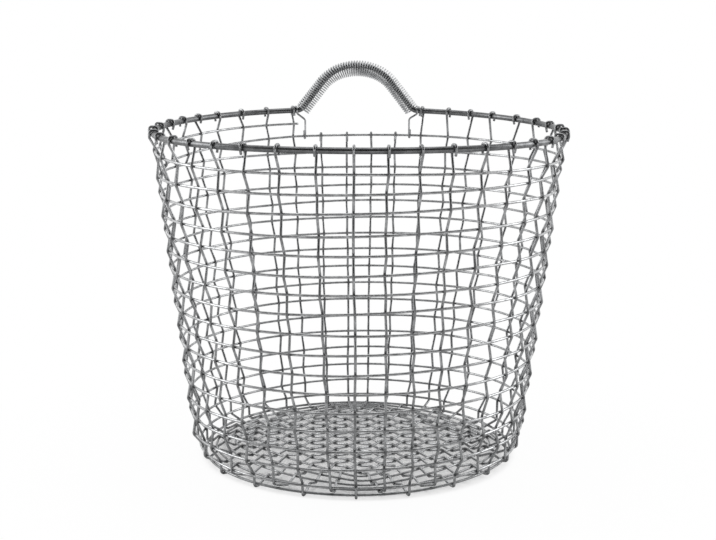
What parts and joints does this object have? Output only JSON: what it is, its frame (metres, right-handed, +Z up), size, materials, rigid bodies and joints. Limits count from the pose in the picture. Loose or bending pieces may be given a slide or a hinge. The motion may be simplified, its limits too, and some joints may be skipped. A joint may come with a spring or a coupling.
{
  "type": "woven wire basket",
  "caption": "Round tapered basket hand-woven from galvanised wire, with a rod rim bent up into an arched handle that carries a wound spring grip, for carrying and draining produce or shellfish.",
  "frame": {"origin": "on the floor plane, below the middle of the round rim", "axes": "+Z up out of the basket's mouth, +Y towards the handle, +X to the right seen from the front"},
  "size_m": [0.4918, 0.4971, 0.458],
  "materials": {
    "rim_rod": "galvanised rod, weathered to a darker matt grey",
    "wire": "hot-dip galvanised wire, satin zinc grey with duller patches",
    "spring": "galvanised spring wire, satin"
  },
  "bodies": {
    "root": {"rim_rod": "rim_rod", "handle_spring": "spring", "handle_tie_left": "wire", "handle_tie_right": "wire", "front_right_wire_01": "wire", "front_right_wire_02": "wire", "front_right_wire_03": "wire", "front_right_wire_04": "wire", "front_right_wire_05": "wire", "front_right_wire_06": "wire", "front_right_wire_07": "wire", "front_right_wire_08": "wire", "front_right_wire_09": "wire", "front_right_wire_10": "wire", "front_left_wire_01": "wire", "front_left_wire_02": "wire", "front_left_wire_03": "wire", "front_left_wire_04": "wire", "front_left_wire_05": "wire", "front_left_wire_06": "wire", "front_left_wire_07": "wire", "front_left_wire_08": "wire", "front_left_wire_09": "wire", "front_left_wire_10": "wire", "base_ring_1": "wire", "base_ring_2": "wire", "base_ring_3": "wire", "base_ring_4": "wire", "foot_ring": "wire", "weft_01": "wire", "weft_02": "wire", "weft_03": "wire", "weft_04": "wire", "weft_05": "wire", "weft_06": "wire", "weft_07": "wire", "weft_08": "wire", "weft_09": "wire", "weft_10": "wire", "weft_11": "wire", "weft_12": "wire", "weft_13": "wire", "weft_14": "wire", "weft_15": "wire", "weft_16": "wire", "weft_top": "wire"}
  },
  "joints": []
}
